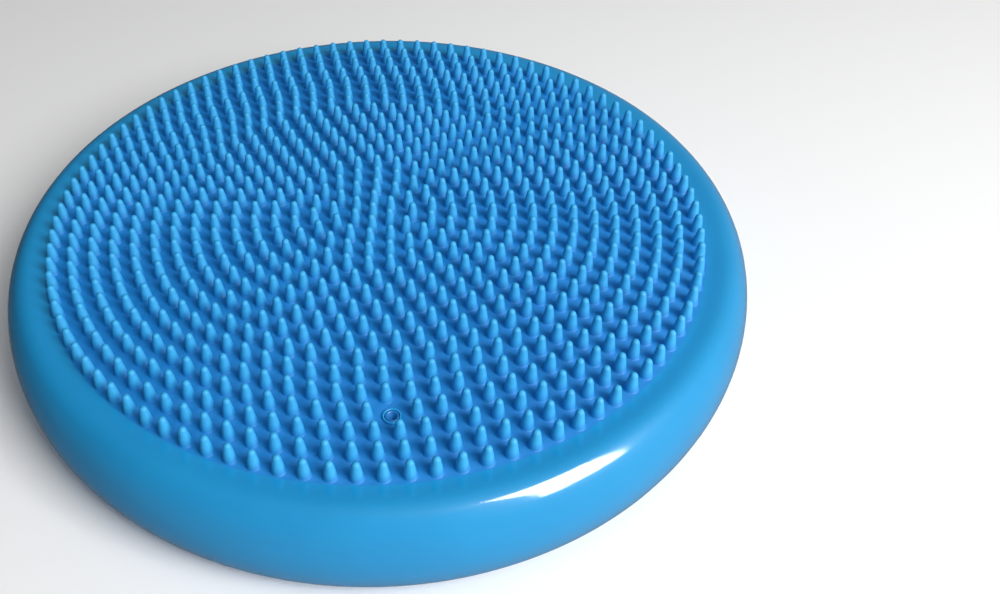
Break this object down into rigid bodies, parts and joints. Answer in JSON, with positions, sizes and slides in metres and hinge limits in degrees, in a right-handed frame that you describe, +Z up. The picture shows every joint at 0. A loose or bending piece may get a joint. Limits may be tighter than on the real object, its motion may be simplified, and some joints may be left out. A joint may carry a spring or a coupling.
{
  "type": "inflatable balance disc",
  "caption": "Round air-filled balance disc with a smooth bulging rim, a spiky nubbed upper face, a bumped underside and a needle valve.",
  "frame": {"origin": "centre of the underside, on the plane that the disc rests on", "axes": "+Z up along the disc's axis, out of the nubbed face; the valve is towards -Y; +X is to the right when the valve is nearest"},
  "size_m": [0.33, 0.33, 0.0549],
  "materials": {
    "shell_vinyl": "glossy moulded soft vinyl, blue all through",
    "valve_vinyl": "satin moulded vinyl",
    "core_rubber": "satin soft rubber"
  },
  "bodies": {
    "disc": {"shell": "shell_vinyl", "valve_seat": "valve_vinyl"},
    "core": {"valve_core": "core_rubber"}
  },
  "joints": [
    {"name": "core_pull", "type": "slide", "parent": "disc", "child": "core", "axis": [0, 0, 1], "range_m": [0, 0.02]}
  ]
}
